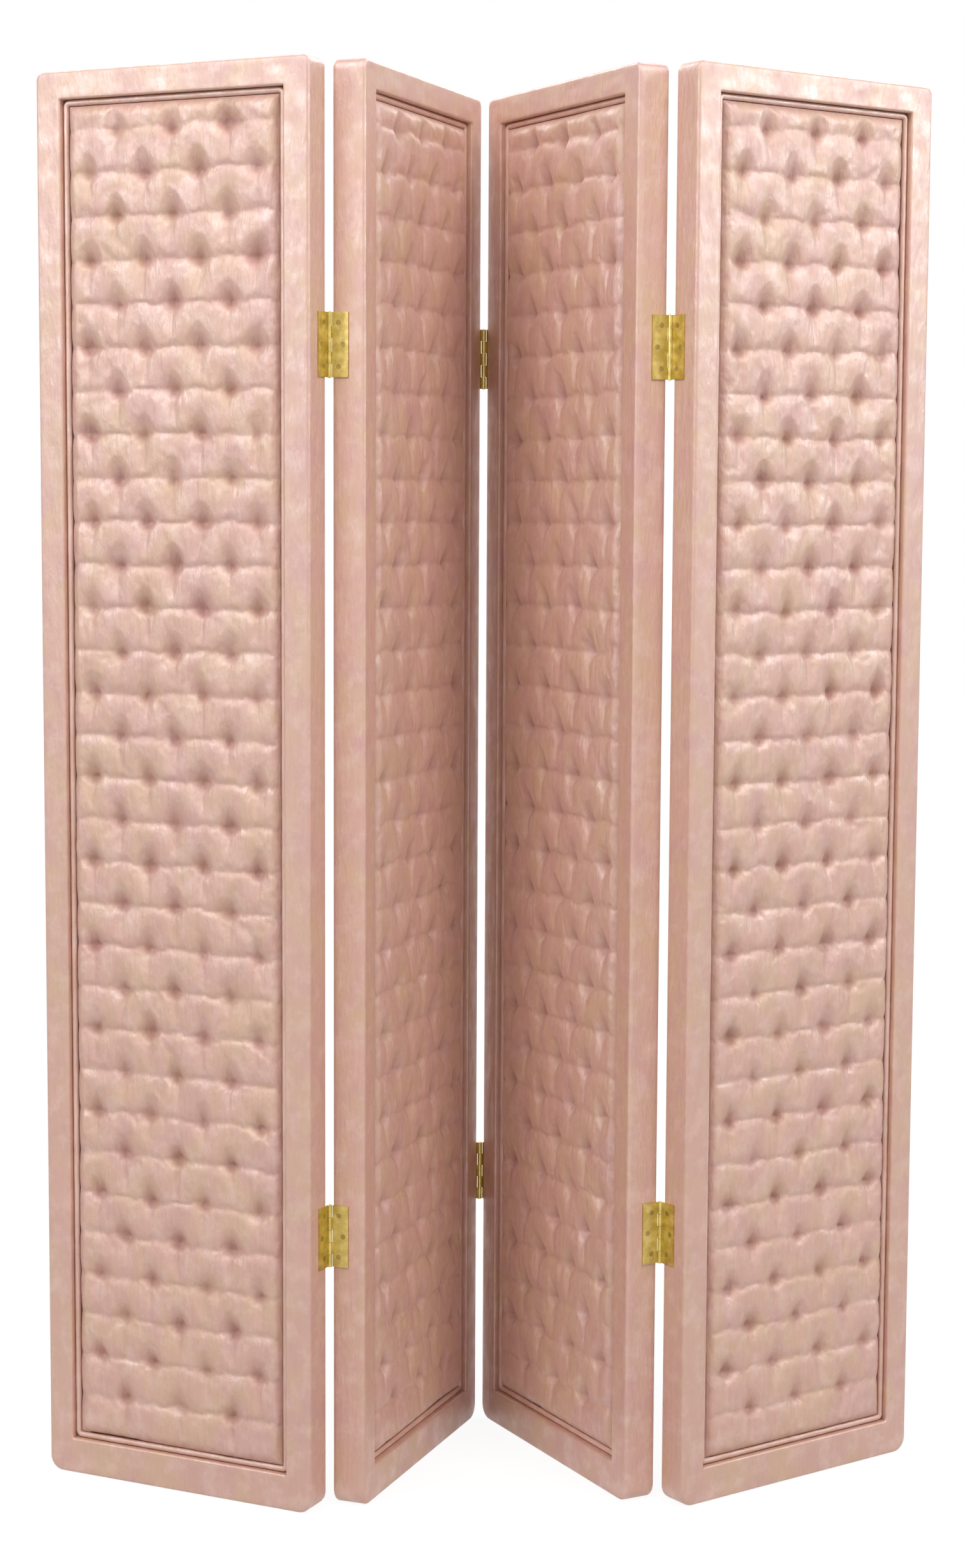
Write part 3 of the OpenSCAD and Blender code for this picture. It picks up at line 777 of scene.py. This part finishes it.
def welt(panel):
    """Cloth-covered cord round the pad, slightly uneven, lying in its corner bends."""
    node = f"welt_{panel.i}"
    low, high = panel.local_box(node)
    r = (high[1] - low[1]) / 2
    path = welt_line(low, high, r)
    ahead = np.roll(path, -1, 0) - np.roll(path, 1, 0)
    ahead /= np.linalg.norm(ahead, axis=1)[:, None]
    out = np.column_stack([ahead[:, 1], -ahead[:, 0]])
    rng = np.random.default_rng(WELT_SEED + panel.i)
    n = len(path)
    turn = np.radians(np.arange(WELT_SIDES) * 360 / WELT_SIDES)
    size = (n // WELT_RUN + 4, WELT_SIDES + 2)
    uneven = wander(rng, size, np.arange(n)[:, None] / WELT_RUN, np.arange(WELT_SIDES))
    radius = r - WELT_UNDER + WELT_UNEVEN * np.clip(uneven, WELT_LEAST, WELT_MOST)
    around = radius * np.cos(turn)
    x, z = path[:, :1] + out[:, :1] * around, path[:, 1:] + out[:, 1:] * around
    y = (low[1] + high[1]) / 2 + radius * np.sin(turn)
    points = np.dstack([x, y, z]).reshape(-1, 3)
    faces = grid_faces(n, WELT_SIDES, closed=True)
    place(f"welt_cord_{panel.i}", node, panel, points, faces, "welt_fabric")


# Back pad


def back_sheet(low, high, seed):
    """The back's cover: a low crown whose sides draw in to the board, with a few ripples."""
    rng = np.random.default_rng(seed)
    across = np.linspace(low[0], high[0], round((high[0] - low[0]) / BACK_STEP) + 1)
    down = np.linspace(high[2], low[2], round((high[2] - low[2]) / BACK_STEP) + 1)
    x, z = np.meshgrid(across, down)
    over, under = x - low[0], high[2] - z
    edge = np.minimum(np.minimum(over, high[0] - x), np.minimum(under, z - low[2]))
    k = np.clip(edge / BACK_ROLL, 0, 1)
    crown = BACK_RIM + (1 - BACK_RIM) * np.sqrt(1 - (1 - k) ** 2)
    ripple = BACK_RIPPLE * wander(rng, RIPPLE_GRID, under / RIPPLE_H, over / RIPPLE_W)
    pulled = wander(rng, PULLED_GRID, under / PULLED_H, over / PULLED_W)
    pulled = BACK_PULL * np.exp(-edge / BACK_PULL_W) * pulled
    y = low[1] + (high[1] - low[1]) * crown + (ripple + pulled) * k - BACK_FLAT * k
    return np.stack([x, np.minimum(y, high[1]), z], -1)


def back_pad(panel):
    """Plain padded back, closed by a wall down to the board and a flat base."""
    node = f"back_pad_{panel.i}"
    low, high = panel.local_box(node)
    sheet = back_sheet(low, high, BACK_SEED + panel.i)
    rows, columns = sheet.shape[:2]
    loop = border_of(rows, columns)
    base = sheet.reshape(-1, 3)[loop].copy()
    base[:, 1] = low[1]
    ring = rows * columns + np.arange(len(loop))
    faces = grid_faces(rows, columns)
    smooth_faces = [True] * len(faces)
    faces += band(loop, ring) + [ring.tolist()]
    smooth_faces += [False] * (len(faces) - len(smooth_faces))
    points = np.vstack([sheet.reshape(-1, 3), base])
    name = f"back_cushion_{panel.i}"
    pad = place(name, node, panel, points, faces, "back_fabric", smooth_faces)


# Pieces that keep the frame's own shape

NODE_SLOTS = {
    "left_stile": "frame_wood", "right_stile": "frame_wood", "top_rail": "frame_wood",
    "bottom_rail": "frame_wood", "dowels": "dowel_wood", "backing_board": "plywood",
    "hinge_screws": "bright_brass", "hinge_pins": "bright_brass",
    "right_upper_leaf": "brass", "right_lower_leaf": "brass",
    "left_upper_leaf": "brass", "left_lower_leaf": "brass",
}


def dress_nodes():
    for name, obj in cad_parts.items():
        kind = name.rstrip("_0123456789")
        if kind in NODE_SLOTS:
            slot = NODE_SLOTS[kind]
            obj.data.materials.clear()
            obj.data.materials.append(SCREW_BRASS if kind == "hinge_screws" else MATERIALS[slot])


# Floor, light and camera


def soft_box(name, at, aim, size, energy, shine_only=False):
    """A square lamp. A shine box shows in the gloss of the cloth alone, like a pale wall."""
    light = bpy.data.lights.new(name, "AREA")
    light.size = size
    light.energy = energy
    obj = link(name, light)
    obj.location = at
    obj.rotation_euler = (Vector(aim) - Vector(at)).to_track_quat("-Z", "Y").to_euler()
    obj.visible_camera = False
    obj.visible_diffuse = not shine_only


def studio_lamps():
    """Lamps on both sides, with places and sizes in metres and energies in watts."""
    for side, name in ((-1, "left"), (1, "right")):
        soft_box(f"{name}_front_box", (2.3 * side, -2.65, 4.6), MIDDLE, 1.5, 130)
        soft_box(f"{name}_back_box", (1.8 * side, 2.6, 3.8), MIDDLE, 1.4, 60)
    soft_box("left_side_box", (-3.2, -1.65, 2.4), LEFT_PANEL, 1.2, 9)
    soft_box("right_side_box", (3.47, -0.99, 2.4), RIGHT_PANEL, 1.2, 10)
    soft_box("left_shine", (-3.03, -1.55, 2.5), LEFT_TOP, 1.0, 40, shine_only=True)
    soft_box("right_shine", (3.28, -0.94, 2.5), RIGHT_TOP, 1.0, 52, shine_only=True)


def seen_directly(tree):
    """1 for rays from the camera, and for those that metal mirrors or glass lets through."""
    path = tree.nodes.new("ShaderNodeLightPath")
    total = path.outputs["Is Camera Ray"]
    for other in ("Is Glossy Ray", "Is Transmission Ray"):
        add = tree.nodes.new("ShaderNodeMath")
        add.operation = "MAXIMUM"
        tree.links.new(total, add.inputs[0])
        tree.links.new(path.outputs[other], add.inputs[1])
        total = add.outputs[0]
    return total


def white_world(ambient):
    """White to the camera, and a weak even light on the object."""
    world = bpy.data.worlds.new("studio")
    bpy.context.scene.world = world
    world.use_nodes = True
    tree = world.node_tree
    back = tree.nodes["Background"]
    back.inputs["Color"].default_value = (1, 1, 1, 1)
    strength = tree.nodes.new("ShaderNodeMapRange")
    tree.links.new(seen_directly(tree), strength.inputs["Value"])
    strength.inputs["To Min"].default_value = ambient
    strength.inputs["To Max"].default_value = 1.0
    tree.links.new(strength.outputs["Result"], back.inputs["Strength"])


def pale_floor():
    """Pale floor that looks white to the camera and keeps a faint shadow round the feet."""
    mesh = bpy.data.meshes.new("floor")
    bm = bmesh.new()
    bmesh.ops.create_grid(bm, x_segments=1, y_segments=1, size=FLOOR_REACH)
    bm.to_mesh(mesh)
    bm.free()
    floor = link("floor", mesh)
    n = Nodes("floor_white")
    far = n.add("ShaderNodeVectorMath", {"operation": "LENGTH"}, Vector=n.place).outputs["Value"]
    share = n.span(far, FEET_REACH, 2 * FEET_REACH, GLOW_AT_FEET, 1.0)
    seen = n.math("MULTIPLY", seen_directly(n.tree), share)
    glow = n.add("ShaderNodeEmission", Strength=FLOOR_GLOW)
    mix = n.add("ShaderNodeMixShader", Fac=seen)
    n.put(mix.inputs[1], n.shader.outputs[0])
    n.put(mix.inputs[2], glow.outputs[0])
    n.put(n.tree.nodes["Material Output"].inputs["Surface"], mix.outputs[0])
    n.finish(Base_Color=(0.86, 0.85, 0.84), Roughness=0.9, Specular_IOR_Level=0.1)
    mesh.materials.append(n.material)


def photo_camera():
    yaw, dip, roll = (math.radians(a) for a in (CAMERA_YAW, CAMERA_DIP, CAMERA_ROLL))
    level_share = math.cos(dip)
    ahead = Vector((-math.sin(yaw) * level_share, math.cos(yaw) * level_share, -math.sin(dip)))
    level = Vector((math.cos(yaw), math.sin(yaw), 0))
    up = level.cross(ahead)
    right = level * math.cos(roll) + up * math.sin(roll)
    up = up * math.cos(roll) - level * math.sin(roll)
    data = bpy.data.cameras.new("camera")
    data.sensor_width, data.lens = SENSOR, LENS
    data.clip_start, data.clip_end = CLIP_START, CLIP_END
    obj = link("camera", data)
    turn = Matrix((right, up, -ahead)).transposed().to_4x4()
    obj.matrix_world = Matrix.Translation(CAMERA_PLACE) @ turn
    bpy.context.scene.camera = obj


dress_nodes()
for panel in [Panel(i) for i in PANELS]:
    tufted_pad(panel)
    frame_cover(panel)
    welt(panel)
    back_pad(panel)

white_world(ambient=0.15)
pale_floor()
studio_lamps()
photo_camera()
bpy.context.scene.view_settings.view_transform = "Standard"

bpy.context.view_layer.update()
